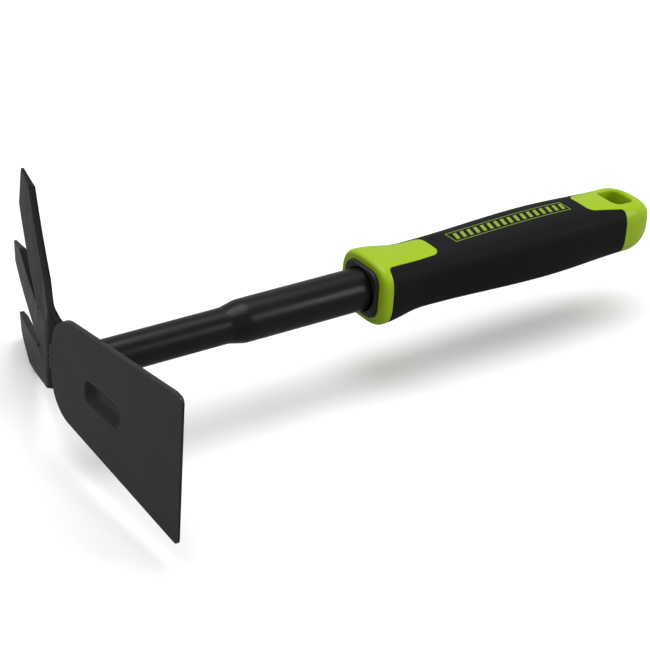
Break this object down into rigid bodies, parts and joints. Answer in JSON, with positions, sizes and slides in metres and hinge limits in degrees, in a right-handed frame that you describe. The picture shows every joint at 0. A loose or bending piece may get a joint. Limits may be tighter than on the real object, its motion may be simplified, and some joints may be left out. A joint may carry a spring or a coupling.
{
  "type": "hand hoe and cultivator",
  "caption": "One-hand garden hoe: a flat hoe blade backed by a pronged cultivating fork on a swaged steel tube, with a two-part moulded handle.",
  "frame": {"origin": "centre of the hanging hole, on the tube's axis", "axes": "+X along the tube from the head to the butt, +Y from the blade's cutting edge to the prongs, +Z across the blade and along the hanging hole"},
  "size_m": [0.358, 0.2296, 0.0984],
  "materials": {
    "blade_coat": "satin black powder coat, fine orange peel",
    "fork_coat": "satin black powder coat, fine orange peel",
    "tube_coat": "satin black powder coat",
    "weld_coat": "black powder coat over weld ripples",
    "plate_plastic": "matte moulded black",
    "core_plastic": "satin moulded lime green",
    "grip_rubber": "matte soft-touch overmould"
  },
  "bodies": {
    "root": {"blade": "blade_coat", "fork": "fork_coat", "shank_tube": "tube_coat", "tube_weld": "weld_coat", "nose_weld": "weld_coat", "side_welds": "weld_coat", "front_plate": "plate_plastic", "handle_core": "core_plastic", "grip": "grip_rubber"}
  },
  "joints": []
}
